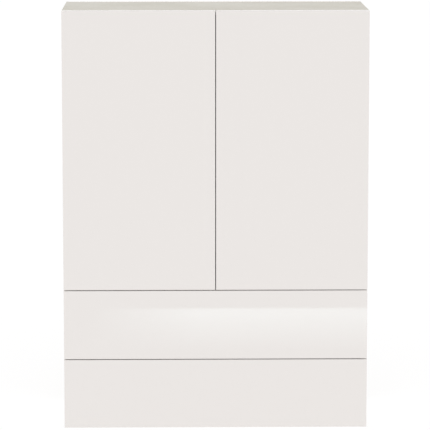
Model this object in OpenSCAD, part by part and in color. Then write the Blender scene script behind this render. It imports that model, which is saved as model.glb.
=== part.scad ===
// Tall handleless storage cabinet: two overlay doors above two full-width drawers.
// Millimetres, +Z up. The origin is at the bottom centre of the overall box, and the
// fronts face -Y. Doors open by push latches, drawers run on ball-bearing slides.

/* [Overall] */
// Overall width
body_w = 920; // [700:10:1200]
// Overall height, glides included
body_h = 1275; // [1100:5:1600]
// Overall depth, fronts included
body_d = 400; // [350:5:520]

/* [Boards] */
// Thickness of the carcass boards
board_t = 16; // [15:1:22]
// Thickness of the doors and drawer fronts
front_t = 18; // [16:1:22]
// Thickness of the back panels
back_t = 3; // [2.5:0.5:5]
// Thickness of the drawer box sides and back
box_t = 12; // [12:1:16]
// Thickness of the drawer bottoms
drawer_bottom_t = 4; // [3:0.5:6]

/* [Fronts] */
// Height of each drawer front
drawer_front_h = 210; // [180:1:260]
// Gap between neighbouring fronts
reveal = 2.5; // [2:0.5:5]
// Push-in space between the fronts and the carcass
push_gap = 3; // [3:0.5:5]

/* [Shelves] */
// Hole that holds the lower shelf, counted from the middle of its group
lower_shelf_hole = 0; // [-2:1:2]
// Hole that holds the upper shelf, counted from the middle of its group
upper_shelf_hole = 0; // [-2:1:2]
// Distance of the shelf front from the carcass front
shelf_setback = 20; // [5:1:60]
// Pitch of the shelf holes
hole_pitch = 32; // [25:1:32]
// Number of shelf holes in each group
holes_per_group = 5; // [5:2:7]

/* [Drawer boxes] */
// Height of each drawer box
box_h = 140; // [110:5:160]
// Drawer box above the lower edge of its front
box_lift = 20; // [18:1:24]
// Width that one runner takes up
runner_w = 13; // [13:0.5:16]

/* [Hinges] */
// Radius of the hinge cup bore
cup_r = 17.5; // [17.5:0.5:18]
// Distance of the cup bore from the door edge
cup_tab = 2.5; // [2.5:0.1:3]
// Distance of each hinge from the top or bottom of its door
hinge_inset = 100; // [80:5:150]
// Radius of the hinge pin
pin_r = 1.2; // [1:0.05:1.3]
// Radial clearance of the hinge arm on its pin
pin_clearance = 0.06; // [0.03:0.01:0.1]

/* [Feet] */
// Height of the glides under the sides
glide_h = 5; // [3:0.5:8]

/* [Hidden] */

fit = 0.1;                                  // play left around pieces that drop into a bore or groove
lap = 1;                                    // length that a cutting tool runs past a face
$fn = 32;

// planes of the carcass
front_y = -body_d / 2;                      // outer face of the fronts
front_back_y = front_y + front_t;           // inner face of the fronts
carcass_y = front_back_y + push_gap;        // front edges of the carcass boards
rear_y = body_d / 2;                        // rear edges of the carcass boards
side_in_x = body_w / 2 - board_t;           // inner face of each side panel
top_under_z = body_h - board_t;             // underside of the top panel
floor_z = glide_h;                          // underside of the carcass
bottom_top_z = floor_z + board_t;

// fronts
lower_front_z = floor_z;
upper_front_z = lower_front_z + drawer_front_h + reveal;
door_z = upper_front_z + drawer_front_h + reveal;
door_h = body_h - door_z;
door_w = (body_w - reveal) / 2;
middle_z = door_z - reveal / 2 - board_t / 2;

// back panels, which slide in grooves
back_rim = 8;                               // depth of the recess behind the back panels
back_y = rear_y - back_rim - back_t;        // inner face of the back panels
groove_depth = 6;
back_split_z = floor_z + (top_under_z - floor_z) / 2;
joiner_lip = 7;                             // how far each lip of the joiner reaches over a panel
joiner_t = 1;

// cams, bolts and dowels that join the boards
cam_r = 7.5;
cam_depth = 12.5;
cam_setback = 34;                           // cam centre to the end of its board
bolt_r = 3;
bolt_thread_r = 2.5;
bolt_thread_l = 11;
dowel_r = 4;
dowel_in = 10;                              // length of a dowel in the face of a board
dowel_out = 20;                             // length of a dowel in the end of a board
system_pitch = 32;                          // pitch of the hole rows that the fittings follow
joint_front = 50;                           // front cam bolt behind the carcass front
joint_rear = 60;                            // rear cam bolt in front of the back panel
joint_ys = [carcass_y + joint_front, back_y - joint_rear];
dowel_shift = system_pitch;                 // dowel centre behind its cam bolt
bolt_end = 2;                               // bolt ends this far short of its cam centre
cam_slot = [9, 1.4, 2.5];                   // length, width and depth of the cross recess in a cam

// pan-head screws
head_r = 3.4;
head_h = 1.8;
low_head_h = 1.3;
head_taper = 0.72;                          // crown radius as a share of the head radius
recess_w = 0.8;
recess_floor = 0.45;                        // floor of the cross recess as a share of the head height

// glides
glide_margin = 0.5;                         // glide inside the edges of its side panel
glide_r = board_t / 2 - glide_margin;
glide_taper = 1;                            // radius lost towards the floor
glide_inset = 30;                           // glides from the front and rear of the carcass
middle_glide_shift = 20;                    // rear middle glide further in, under the bottom panel

// shelves
bay_z = middle_z + board_t;
shelf_gap = 1;                              // play at each end of a shelf
shelf_space = (top_under_z - bay_z - 2 * board_t) / 3;
shelf_homes = [bay_z + shelf_space, bay_z + 2 * shelf_space + board_t];
shelf_zs = shelf_homes + [lower_shelf_hole, upper_shelf_hole] * hole_pitch;
shelf_front_y = carcass_y + shelf_setback;
shelf_rear_gap = 4;                         // shelf in front of the back panel
shelf_back_y = back_y - shelf_rear_gap;
pin_hole_r = 2.5;
pin_hole_depth = 10;
pin_inset = 37;                             // shelf pins from the front and back edge of a shelf
pin_row_ys = [shelf_front_y + pin_inset, shelf_back_y - pin_inset];
pin_w = 10;
pin_plate_h = 14;
pin_plate_t = 1.5;
pin_ledge_t = 3;
pin_ledge_l = 9;
pin_ledge_drop = 3;                         // shelf pin centre below its ledge
pin_z_drop = pin_ledge_t + pin_ledge_drop;  // shelf pin centre below the underside of its shelf

// hinges, placed from the hinged edge of a door and the middle of each hinge
cup_depth = 13.4;
cup_wall = 0.7;
cup_x = cup_tab + cup_r;                    // cup centre from the door edge
axis_x = 7;                                 // hinge pin from the door edge
axis_in = 10.5;                             // hinge pin in front of the door's inner face
axis_y = front_back_y - axis_in;
hinge_zs = [door_z + hinge_inset, body_h - hinge_inset];
flange_t = 1.2;
flange_rim = 1;                             // how far the flange reaches past the cup bore
flange_screw_z = 24;
flange_screw_x = 6;                         // flange screws behind the cup centre
flange_edge = 5;                            // flange past its screws
cheek_t = 2;                                // cheeks inside the cup that carry the pin
cheek_gap = 1;                              // play between the strap and each cheek
cheek_end = 4.5;                            // how far the cheeks reach past the pin
strap_t = 2;
strap_w = 8;
plate_t = 4;
arm_x = board_t + plate_t;                  // near face of the arm from the door edge
arm_w = 16;
arm_lip = 6;
arm_lip_t = 1.5;
arm_lip_start = 8;                          // lips and plate start behind the carcass front
arm_lip_l = 42;
arm_start = 4;                              // channel of the arm starts behind the carcass front
arm_end = 62;                               // rear end of the arm behind the carcass front
riser_end = 10;                             // the riser overlaps the channel up to here
plate_row = 37;                             // row of system holes behind the carcass front
plate_y = carcass_y + plate_row;
plate_screw_z = 16;
plate_edge = 7;                             // wings of the plate past their screws
euro_r = 2.5;
euro_l = 11;
eye_r = 1.95;
arm_screw_r = 2;
arm_screw_in = 2;                           // depth of the adjusting screws in the mounting plate
arm_screw_ys = [18, 48];                    // adjusting screws behind the carcass front
cup_pin_l = strap_w + 2 * (cheek_gap + cheek_t);
cup_screw_r = 1.75;
cup_screw_in = 12;

// push latches under the top panel
latch_x = 36;                               // latch centre from the cabinet centre
latch_w = 15;
latch_h = 15;
latch_l = 60;
latch_set = 4;                              // housing behind the carcass front
latch_ear = 9;                              // width of each screw ear
latch_ear_t = 2.5;
latch_ear_l = 24;
latch_tail = 4;                             // closed length behind the plunger bore
latch_z = top_under_z - latch_h / 2;
latch_screw_x = latch_w / 2 + latch_ear / 2;
latch_screw_y = carcass_y + latch_set + latch_l / 2;
small_screw_r = 1.75;
small_screw_in = 10;
plunger_r = 4;
plunger_l = 50;
plunger_gap = 0.3;                          // rest gap between plunger and plate
plunger_play = 0.08;                        // radial clearance of the plunger in its housing
magnet_rim = 1;                             // wall of the plunger around its magnet
magnet_recess = 0.5;
latch_plate_r = 7.5;
latch_plate_t = 1.5;
latch_tip_y = front_back_y + latch_plate_t + plunger_gap;

// wall brackets in the top rear corners of the door bay
bracket_x = side_in_x - 144;                // bracket centre from the cabinet centre
bracket_w = 40;
bracket_leg = 30;
bracket_t = 2;
bracket_hole_r = 2.75;
bracket_hole_drop = 18;                     // wall hole below the top panel

// drawers
opening_w = 2 * side_in_x;
box_w = opening_w - 2 * runner_w;
runner_front_gap = 2;                       // runner behind the carcass front
runner_rear_gap = 10;                       // least room behind a runner
runner_step = 50;                           // runners are sold in steps of this length
runner_l = runner_step * floor((back_y - carcass_y - runner_front_gap - runner_rear_gap) / runner_step);
box_l = runner_l;                           // length of the drawer box sides
bottom_lift = 12;                           // drawer bottom above the lower edge of the box
bottom_groove = 5;
back_drop = 10;                             // drawer back below the upper edge of the sides
box_rear_y = front_back_y + box_l;
runner_lift = 50;                           // runner centre line above the lower edge of the box
drawer_cam_low = 28;                        // lower drawer cams above the lower edge of the box
drawer_cam_high = 22;                       // upper drawer cams below its upper edge
drawer_cam_lifts = [drawer_cam_low, box_h - drawer_cam_high];
drawer_cam_depth = 10;
drawer_cam_setback = 24;

// section of a ball-bearing runner, measured from the side panel towards the box
outer_h = 45;
sheet_t = 1.2;
outer_depth = 9.5;
middle_x = 2.6;
middle_h = 34.4;
middle_depth = 8.4;
inner_h = 24;
inner_depth = 7.4;
middle_setback = 2;                         // middle channel behind the front end of the outer one
middle_short = 10;                          // middle channel shorter than the outer one
inner_short = 14;                           // inner channel shorter than the outer one
cage_l = 120;
cage_shift = 7;                             // cages behind the first quarter of the runner
cage_start = runner_l / 4 + cage_shift;     // cages behind the front end of the runner
cage_t = 0.8;
cage_w = 2.6;
outer_cage_x = 2.4;                         // cages past the web of the middle channel
inner_cage_x = 5.4;
runner_screw_r = 2;
runner_head_r = 3.5;
head_play = 0.1;                            // play around a flush screw head
box_screw_skin = 3;                         // wood left behind the tip of a box screw
box_screw_in = box_t - box_screw_skin;
box_screw_shift = 23;                       // first box screw behind the first runner screw
runner_screw_span = 7 * system_pitch;       // from the front to the rear runner screw
box_screw_span = 6 * system_pitch;          // from the front to the rear box screw
runner_screw_ys = [plate_y, plate_y + runner_screw_span];
box_screw_ys = [plate_y + box_screw_shift, plate_y + box_screw_shift + box_screw_span];

// Mirrors its children to the other side of the cabinet when side is 1, and keeps the left side at -1.
module at_side(side) {
    mirror([side > 0 ? 1 : 0, 0, 0]) children();
}

// A cylinder along X that starts at the given point.
module rod_x(p, r, l) {
    translate(p) rotate([0, 90, 0]) cylinder(r = r, h = l);
}

// A cylinder along Y that starts at the given point.
module rod_y(p, r, l) {
    translate(p) rotate([-90, 0, 0]) cylinder(r = r, h = l);
}

// A pan-head screw along -Z with its seat at z = 0 and a cross recess in its head.
module pan_screw(r, h, shank_r, shank_l) {
    difference() {
        union() {
            cylinder(r1 = r, r2 = r * head_taper, h = h);
            translate([0, 0, -shank_l]) cylinder(r = shank_r, h = shank_l);
        }
        for (a = [0, 90])
            rotate([0, 0, a])
                translate([-r / 2, -recess_w / 2, h * recess_floor]) cube([r, recess_w, h]);
    }
}

/* ---------- carcass boards ---------- */

// Bores of one side panel, drawn for the left side.
module side_bores() {
    // shelf holes
    for (y = pin_row_ys, z = shelf_homes, i = [0 : holes_per_group - 1])
        rod_x([-side_in_x - pin_hole_depth, y,
               z - pin_z_drop + (i - (holes_per_group - 1) / 2) * hole_pitch],
              pin_hole_r, pin_hole_depth + lap);
    // hinge plate screws
    for (z = hinge_zs, s = [-1, 1])
        rod_x([-side_in_x - euro_l - fit, plate_y, z + s * plate_screw_z], euro_r, euro_l + fit + lap);
    // runner screws
    for (z = [runner_z(lower_front_z), runner_z(upper_front_z)], y = runner_screw_ys)
        rod_x([-side_in_x - euro_l - fit, y, z], runner_screw_r, euro_l + fit + lap);
    // bolts and dowels of the panels that butt against the side
    for (z = [floor_z + board_t / 2, middle_z + board_t / 2], y = joint_ys) {
        rod_x([-side_in_x - bolt_thread_l, y, z], bolt_thread_r, bolt_thread_l + lap);
        rod_x([-side_in_x - dowel_in, y + dowel_shift, z], dowel_r, dowel_in + lap);
    }
    // cam pockets, bolt bores and dowel bores under the top panel
    for (y = joint_ys) {
        rod_x([-side_in_x - cam_depth, y, top_under_z - cam_setback], cam_r + fit, cam_depth + lap);
        translate([-side_in_x - board_t / 2, y, top_under_z - cam_setback])
            cylinder(r = bolt_r + fit, h = cam_setback + lap);
        translate([-side_in_x - board_t / 2, y + dowel_shift, top_under_z - dowel_out])
            cylinder(r = dowel_r, h = dowel_out + lap);
    }
}

module side_panel(side) {
    color("white") at_side(side) difference() {
        translate([-body_w / 2, carcass_y, floor_z])
            cube([board_t, rear_y - carcass_y, top_under_z - floor_z]);
        translate([-side_in_x - groove_depth, back_y - fit, floor_z - lap])
            cube([groove_depth + lap, back_t + 2 * fit, top_under_z - floor_z + 2 * lap]);
        side_bores();
    }
}

module top_panel() {
    color("white") difference() {
        translate([-body_w / 2, carcass_y, top_under_z]) cube([body_w, rear_y - carcass_y, board_t]);
        translate([-side_in_x - groove_depth, back_y - fit, top_under_z - lap])
            cube([2 * (side_in_x + groove_depth), back_t + 2 * fit, groove_depth + lap]);
        for (side = [-1, 1]) at_side(side) for (y = joint_ys) {
            translate([-side_in_x - board_t / 2, y, top_under_z - lap])
                cylinder(r = bolt_thread_r, h = bolt_thread_l + lap);
            translate([-side_in_x - board_t / 2, y + dowel_shift, top_under_z - lap])
                cylinder(r = dowel_r, h = dowel_in + lap);
        }
        for (side = [-1, 1]) at_side(side) {
            for (dx = [-1, 1]) {
                translate([-latch_x + dx * latch_screw_x, latch_screw_y, top_under_z - lap])
                    cylinder(r = small_screw_r, h = small_screw_in + lap);
                translate([-bracket_x + dx * bracket_w / 4, back_y - bracket_leg / 2, top_under_z - lap])
                    cylinder(r = small_screw_r, h = small_screw_in + lap);
            }
        }
    }
}

// A horizontal panel between the sides, with cam pockets in its underside.
module cross_panel(z) {
    color("white") difference() {
        translate([-side_in_x, carcass_y, z]) cube([2 * side_in_x, back_y - carcass_y, board_t]);
        for (side = [-1, 1]) at_side(side) for (y = joint_ys) {
            translate([-side_in_x + cam_setback, y, z - lap]) cylinder(r = cam_r + fit, h = cam_depth + lap);
            rod_x([-side_in_x - lap, y, z + board_t / 2], bolt_r + fit, cam_setback + lap);
            rod_x([-side_in_x - lap, y + dowel_shift, z + board_t / 2], dowel_r, dowel_out + lap);
        }
    }
}

// Back panels: thin sheets that stand in the grooves of the sides and the top.
module back_panel(z0, z1) {
    color("white")
        translate([-side_in_x - groove_depth + fit, back_y, z0])
            cube([2 * (side_in_x + groove_depth - fit), back_t, z1 - z0]);
}

module upper_back_panel() {
    difference() {
        back_panel(back_split_z + joiner_t / 2, top_under_z + groove_depth - fit);
        color("white") for (side = [-1, 1]) at_side(side) wall_hole(bracket_hole_r);
    }
}

module lower_back_panel() {
    back_panel(floor_z, back_split_z - joiner_t / 2);
}

// An H strip that holds the edges of the two back panels in line.
module back_panel_joiner() {
    color("gainsboro") difference() {
        translate([-side_in_x + fit, back_y - joiner_t, back_split_z - joiner_lip])
            cube([2 * (side_in_x - fit), back_t + 2 * joiner_t, 2 * joiner_lip]);
        for (s = [-1, 1])
            translate([-side_in_x - lap, back_y, back_split_z + (s < 0 ? -joiner_lip - lap : joiner_t / 2)])
                cube([2 * (side_in_x + lap), back_t, joiner_lip + lap - joiner_t / 2]);
    }
}

/* ---------- shelves ---------- */

module shelf(i) {
    color("white")
        translate([-side_in_x + shelf_gap, shelf_front_y, shelf_zs[i]])
            cube([2 * (side_in_x - shelf_gap), shelf_back_y - shelf_front_y, board_t]);
}

// Spoon pins: a round stud in the side panel, a plate against it and a ledge under the shelf.
module shelf_pins() {
    color("silver") for (side = [-1, 1]) at_side(side) for (y = pin_row_ys, z = shelf_zs) {
        rod_x([-side_in_x - pin_hole_depth + fit, y, z - pin_z_drop], pin_hole_r - fit / 2, pin_hole_depth);
        translate([-side_in_x, y - pin_w / 2, z - pin_plate_h]) cube([pin_plate_t, pin_w, pin_plate_h]);
        translate([-side_in_x, y - pin_w / 2, z - pin_ledge_t]) cube([pin_ledge_l, pin_w, pin_ledge_t]);
    }
}

/* ---------- joinery ---------- */

// One eccentric cam, standing on z = 0 with its cross recess facing down.
module cam(depth, bolt_z) {
    difference() {
        cylinder(r = cam_r, h = depth);
        for (a = [45, 135])
            rotate([0, 0, a]) translate([-cam_slot.x / 2, -cam_slot.y / 2, -lap])
                cube(cam_slot + [0, 0, lap]);
        translate([0, 0, bolt_z]) rotate([0, 90, 0]) cylinder(r = bolt_r + fit, h = cam_r + lap);
    }
}

module cam_locks() {
    color("silver") for (side = [-1, 1]) at_side(side) for (y = joint_ys) {
        for (z = [floor_z, middle_z])
            translate([-side_in_x + cam_setback, y, z]) mirror([1, 0, 0]) cam(cam_depth - fit, board_t / 2);
        translate([-side_in_x, y, top_under_z - cam_setback])
            rotate([0, -90, 0]) cam(cam_depth - fit, board_t / 2);
    }
}

// One cam bolt along +X from the face it is screwed into, with its head inside the cam.
module cam_bolt() {
    rod_x([-bolt_thread_l + fit, 0, 0], bolt_thread_r - fit / 2, bolt_thread_l);
    rod_x([0, 0, 0], bolt_r, cam_setback - bolt_end);
}

module cam_bolts() {
    color("silver") for (side = [-1, 1]) at_side(side) for (y = joint_ys) {
        for (z = [floor_z + board_t / 2, middle_z + board_t / 2])
            translate([-side_in_x, y, z]) cam_bolt();
        translate([-side_in_x - board_t / 2, y, top_under_z]) rotate([0, 90, 0]) cam_bolt();
    }
}

module wood_dowels() {
    dowel_l = dowel_in + dowel_out - 2 * fit;
    color("burlywood") for (side = [-1, 1]) at_side(side) for (y = joint_ys) {
        for (z = [floor_z + board_t / 2, middle_z + board_t / 2])
            rod_x([-side_in_x - dowel_in + fit, y + dowel_shift, z], dowel_r - fit / 2, dowel_l);
        translate([-side_in_x - board_t / 2, y + dowel_shift, top_under_z - dowel_out + fit])
            cylinder(r = dowel_r - fit / 2, h = dowel_l);
    }
}

module glide() {
    cylinder(r1 = glide_r - glide_taper, r2 = glide_r, h = glide_h);
}

// Plastic glides under the side panels and the middle of the bottom panel.
module glides() {
    color("white") for (y = [carcass_y + glide_inset, rear_y - glide_inset]) {
        for (side = [-1, 1]) translate([side * (body_w - board_t) / 2, y, 0]) glide();
        translate([0, y - (y > 0 ? middle_glide_shift : 0), 0]) glide();
    }
}

/* ---------- hinges ---------- */

// Places children at each hinge of one side: x from the hinged edge of the door, y = 0 at the
// front edges of the carcass, z = 0 at the middle of the hinge. Drawn for the left side.
module at_hinges(side) {
    at_side(side) for (z = hinge_zs) translate([-body_w / 2, carcass_y, z]) children();
}

module hinge_mounting_plates() {
    color("silver") for (side = [-1, 1]) at_hinges(side) difference() {
        union() {
            translate([board_t, plate_row - plate_edge, -plate_screw_z - plate_edge])
                cube([plate_t, 2 * plate_edge, 2 * (plate_screw_z + plate_edge)]);
            translate([board_t, arm_lip_start, -arm_w / 2]) cube([plate_t, arm_end - arm_lip_start, arm_w]);
        }
        for (s = [-1, 1])
            rod_x([board_t - lap, plate_row, s * plate_screw_z], euro_r + fit, plate_t + 2 * lap);
        for (y = arm_screw_ys)
            rod_x([arm_x - arm_screw_in, y, 0], arm_screw_r, arm_screw_in + lap);
    }
}

// A gooseneck arm: an eye on the pin, a strap across the cup, a riser out of the cup mouth and
// a lipped channel along the mounting plate.
module hinge_arm() {
    pin_y = axis_y - carcass_y;
    difference() {
        union() {
            translate([axis_x, pin_y, -strap_w / 2]) cylinder(r = eye_r, h = strap_w);
            translate([axis_x, pin_y - strap_t / 2, -strap_w / 2])
                cube([arm_x + strap_t - axis_x, strap_t, strap_w]);
            translate([arm_x, pin_y - strap_t / 2, -strap_w / 2])
                cube([strap_t, strap_t / 2 - pin_y + riser_end, strap_w]);
            translate([arm_x, arm_start, -arm_w / 2]) cube([strap_t, arm_end - arm_start, arm_w]);
            for (s = [-1, 1])
                translate([arm_x, arm_lip_start, s < 0 ? -arm_w / 2 : arm_w / 2 - arm_lip_t])
                    cube([arm_lip, arm_lip_l, arm_lip_t]);
        }
        translate([axis_x, pin_y, -strap_w]) cylinder(r = pin_r + pin_clearance, h = 2 * strap_w);
        for (y = arm_screw_ys)
            rod_x([arm_x - lap, y, 0], arm_screw_r + fit, strap_t + 2 * lap);
    }
}

module hinge_arms() {
    color("silver") for (side = [-1, 1]) at_hinges(side) hinge_arm();
}

module hinge_adjusting_screws() {
    color("gray") for (side = [-1, 1]) at_hinges(side) for (y = arm_screw_ys)
        translate([arm_x + strap_t, y, 0]) rotate([0, 90, 0])
            pan_screw(head_r, head_h, arm_screw_r - fit / 2, strap_t + arm_screw_in - fit);
}

module hinge_plate_screws() {
    color("silver") for (side = [-1, 1]) at_hinges(side) for (s = [-1, 1])
        translate([arm_x, plate_row, s * plate_screw_z])
            rotate([0, 90, 0]) pan_screw(head_r, head_h, euro_r - fit / 2, plate_t + euro_l);
}

// Pressed steel cup with a winged flange on the inner face of the door and two cheeks that hold the pin.
module hinge_cup() {
    face_y = front_back_y - carcass_y;
    pin_y = axis_y - carcass_y;
    difference() {
        union() {
            difference() {
                union() {
                    rod_y([cup_x, face_y - cup_depth, 0], cup_r - fit / 2, cup_depth);
                    rod_y([cup_x, face_y, 0], cup_r + flange_rim, flange_t);
                    translate([cup_x, face_y, -flange_screw_z - flange_edge])
                        cube([flange_screw_x + flange_edge, flange_t, 2 * (flange_screw_z + flange_edge)]);
                }
                rod_y([cup_x, face_y - cup_depth + cup_wall, 0],
                      cup_r - cup_wall, cup_depth + flange_t + lap);
            }
            for (s = [-1, 1]) intersection() {
                translate([0, face_y - cup_depth, s * (cup_pin_l / 2 - cheek_t / 2) - cheek_t / 2])
                    cube([axis_x + cheek_end, cup_depth - axis_in + cheek_end, cheek_t]);
                rod_y([cup_x, face_y - cup_depth, 0], cup_r - fit / 2, cup_depth);
            }
        }
        // the strap sweeps over the rim when the door is open
        translate([-lap, face_y, -strap_w / 2 - cheek_gap])
            cube([cup_x, flange_t + lap, strap_w + 2 * cheek_gap]);
        for (s = [-1, 1])
            rod_y([cup_x + flange_screw_x, face_y - lap, s * flange_screw_z],
                  cup_screw_r + fit, flange_t + 2 * lap);
        translate([axis_x, pin_y, -cup_pin_l / 2 - lap]) cylinder(r = pin_r, h = cup_pin_l + 2 * lap);
    }
}

module hinge_cups(side) {
    color("silver") at_hinges(side) hinge_cup();
}

module hinge_pins(side) {
    color("gray") at_hinges(side)
        translate([axis_x, axis_y - carcass_y, -cup_pin_l / 2]) cylinder(r = pin_r, h = cup_pin_l);
}

module cup_screws(side) {
    color("silver") at_hinges(side) for (s = [-1, 1])
        translate([cup_x + flange_screw_x, front_back_y - carcass_y + flange_t, s * flange_screw_z])
            rotate([-90, 0, 0]) pan_screw(head_r, low_head_h, cup_screw_r, flange_t + cup_screw_in - fit);
}

/* ---------- doors ---------- */

module door_panel(side) {
    color("white") difference() {
        at_side(side) translate([-body_w / 2, front_y, door_z]) cube([door_w, front_t, door_h]);
        at_hinges(side) {
            rod_y([cup_x, front_back_y - carcass_y - cup_depth - fit, 0], cup_r, cup_depth + fit + lap);
            for (s = [-1, 1])
                rod_y([cup_x + flange_screw_x, front_back_y - carcass_y - cup_screw_in, s * flange_screw_z],
                      cup_screw_r + fit / 2, cup_screw_in + lap);
        }
    }
}

module latch_plate(side) {
    color("silver") at_side(side) rod_y([-latch_x, front_back_y, latch_z], latch_plate_r, latch_plate_t);
}

/* ---------- push latches ---------- */

module latch_housings() {
    y0 = carcass_y + latch_set;
    color("whitesmoke") for (side = [-1, 1]) at_side(side) difference() {
        union() {
            translate([-latch_x - latch_w / 2, y0, top_under_z - latch_h]) cube([latch_w, latch_l, latch_h]);
            translate([-latch_x - latch_w / 2 - latch_ear, latch_screw_y - latch_ear_l / 2,
                       top_under_z - latch_ear_t])
                cube([latch_w + 2 * latch_ear, latch_ear_l, latch_ear_t]);
        }
        rod_y([-latch_x, y0 - lap, latch_z], plunger_r + plunger_play, latch_l - latch_tail + lap);
        for (dx = [-1, 1])
            translate([-latch_x + dx * latch_screw_x, latch_screw_y, top_under_z - latch_ear_t - lap])
                cylinder(r = small_screw_r + fit, h = latch_ear_t + 2 * lap);
    }
}

module latch_screws() {
    color("silver") for (side = [-1, 1]) at_side(side) for (dx = [-1, 1])
        translate([-latch_x + dx * latch_screw_x, latch_screw_y, top_under_z - latch_ear_t]) mirror([0, 0, 1])
            pan_screw(head_r, head_h, small_screw_r - fit / 2, latch_ear_t + small_screw_in - fit);
}

// Round plunger with a magnet let into its tip.
module latch_plunger(side) {
    color("gainsboro") at_side(side) difference() {
        rod_y([-latch_x, latch_tip_y, latch_z], plunger_r, plunger_l);
        rod_y([-latch_x, latch_tip_y - lap, latch_z], plunger_r - magnet_rim, lap + magnet_recess);
    }
}

/* ---------- wall brackets ---------- */

// Bore for a wall screw through a bracket and the back panel, on the left side.
module wall_hole(r) {
    rod_y([-bracket_x, back_y - bracket_t - lap, top_under_z - bracket_hole_drop],
          r, bracket_t + back_t + 2 * lap);
}

module wall_brackets() {
    color("silver") for (side = [-1, 1]) at_side(side) difference() {
        union() {
            translate([-bracket_x - bracket_w / 2, back_y - bracket_leg, top_under_z - bracket_t])
                cube([bracket_w, bracket_leg, bracket_t]);
            translate([-bracket_x - bracket_w / 2, back_y - bracket_t, top_under_z - bracket_leg])
                cube([bracket_w, bracket_t, bracket_leg]);
        }
        wall_hole(bracket_hole_r);
        for (dx = [-1, 1])
            translate([-bracket_x + dx * bracket_w / 4, back_y - bracket_leg / 2,
                       top_under_z - bracket_t - lap])
                cylinder(r = small_screw_r + fit, h = bracket_t + 2 * lap);
    }
}

module wall_bracket_screws() {
    color("silver") for (side = [-1, 1]) at_side(side) for (dx = [-1, 1])
        translate([-bracket_x + dx * bracket_w / 4, back_y - bracket_leg / 2, top_under_z - bracket_t])
            mirror([0, 0, 1])
                pan_screw(head_r, head_h, small_screw_r - fit / 2, bracket_t + small_screw_in - fit);
}

/* ---------- drawer runners ---------- */

function runner_z(front_z) = front_z + box_lift + runner_lift;

// A channel along Y: web at x0, opening towards +X for open = 1 and -X for open = -1.
module channel(x0, open, h, depth, y0, l) {
    translate([open > 0 ? x0 : x0 - sheet_t, y0, -h / 2]) cube([sheet_t, l, h]);
    for (s = [-1, 1])
        translate([open > 0 ? x0 : x0 - depth, y0, s < 0 ? -h / 2 : h / 2 - sheet_t])
            cube([depth, l, sheet_t]);
}

// Places children for both runners of a drawer: x = 0 on the side panel, z = 0 on the centre line.
module at_runners(front_z) {
    for (side = [-1, 1]) at_side(side) translate([-side_in_x, 0, runner_z(front_z)]) children();
}

module runner_outer(front_z) {
    color("silver") at_runners(front_z) difference() {
        channel(0, 1, outer_h, outer_depth, carcass_y + runner_front_gap, runner_l);
        for (y = runner_screw_ys)
            rod_x([-lap, y, 0], runner_head_r + head_play, sheet_t + 2 * lap);
    }
}

module runner_screws() {
    color("silver") for (z = [lower_front_z, upper_front_z]) at_runners(z) for (y = runner_screw_ys) {
        rod_x([0, y, 0], runner_head_r, sheet_t);
        rod_x([-euro_l, y, 0], runner_screw_r - fit / 2, euro_l);
    }
}

module runner_middle(front_z) {
    color("gainsboro") at_runners(front_z)
        channel(middle_x, 1, middle_h, middle_depth,
                carcass_y + runner_front_gap + middle_setback, runner_l - middle_short);
}

module runner_inner(front_z) {
    color("silver") at_runners(front_z) difference() {
        channel(runner_w, -1, inner_h, inner_depth, carcass_y + runner_front_gap, runner_l - inner_short);
        for (y = box_screw_ys)
            rod_x([runner_w - sheet_t - lap, y, 0], runner_head_r + head_play, sheet_t + 2 * lap);
    }
}

module drawer_runner_screws(front_z) {
    color("silver") at_runners(front_z) for (y = box_screw_ys) {
        rod_x([runner_w - sheet_t, y, 0], runner_head_r, sheet_t);
        rod_x([runner_w, y, 0], runner_screw_r - fit / 2, box_screw_in);
    }
}

// Ball cages are strips above and below the next channel. The outer ones run between the outer
// and middle channels, the inner ones between the middle and inner channels.
module ball_cages(front_z, x, z) {
    color("dimgray") at_runners(front_z) for (s = [-1, 1])
        translate([x, carcass_y + cage_start, s * z - cage_w / 2]) cube([cage_t, cage_l, cage_w]);
}

module outer_ball_cages(front_z) {
    ball_cages(front_z, middle_x + outer_cage_x, (outer_h / 2 - sheet_t + middle_h / 2) / 2);
}

module inner_ball_cages(front_z) {
    ball_cages(front_z, middle_x + inner_cage_x, (middle_h / 2 - sheet_t + inner_h / 2) / 2);
}

/* ---------- drawers ---------- */

// Cam pockets and bores in the front ends of the box sides. x = 0 is the outer face of the box.
module drawer_joint_positions(front_z) {
    for (side = [-1, 1]) at_side(side) for (lift = drawer_cam_lifts)
        translate([-box_w / 2, front_back_y, front_z + box_lift + lift]) children();
}

module drawer_front(front_z) {
    color("white") difference() {
        translate([-body_w / 2, front_y, front_z]) cube([body_w, front_t, drawer_front_h]);
        // groove for the drawer bottom
        translate([-box_w / 2 + box_t - bottom_groove, front_back_y - bottom_groove,
                   front_z + box_lift + bottom_lift])
            cube([box_w - 2 * (box_t - bottom_groove), bottom_groove + lap, drawer_bottom_t + fit]);
        drawer_joint_positions(front_z)
            rod_y([box_t / 2, -bolt_thread_l, 0], bolt_thread_r, bolt_thread_l + lap);
    }
}

module drawer_side(front_z, side) {
    z = front_z + box_lift;
    color("white") difference() {
        at_side(side) translate([-box_w / 2, front_back_y, z]) cube([box_t, box_l, box_h]);
        at_side(side) translate([-box_w / 2 + box_t - bottom_groove, front_back_y - lap, z + bottom_lift])
            cube([bottom_groove + lap, box_l + 2 * lap, drawer_bottom_t + fit]);
        drawer_joint_positions(front_z) {
            rod_x([-lap, drawer_cam_setback, 0], cam_r + fit, drawer_cam_depth + lap);
            rod_y([box_t / 2, -lap, 0], bolt_r + fit, drawer_cam_setback + lap);
        }
        at_runners(front_z) for (y = box_screw_ys)
            rod_x([runner_w - lap, y, 0], runner_screw_r, box_screw_in + fit + lap);
    }
}

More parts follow.
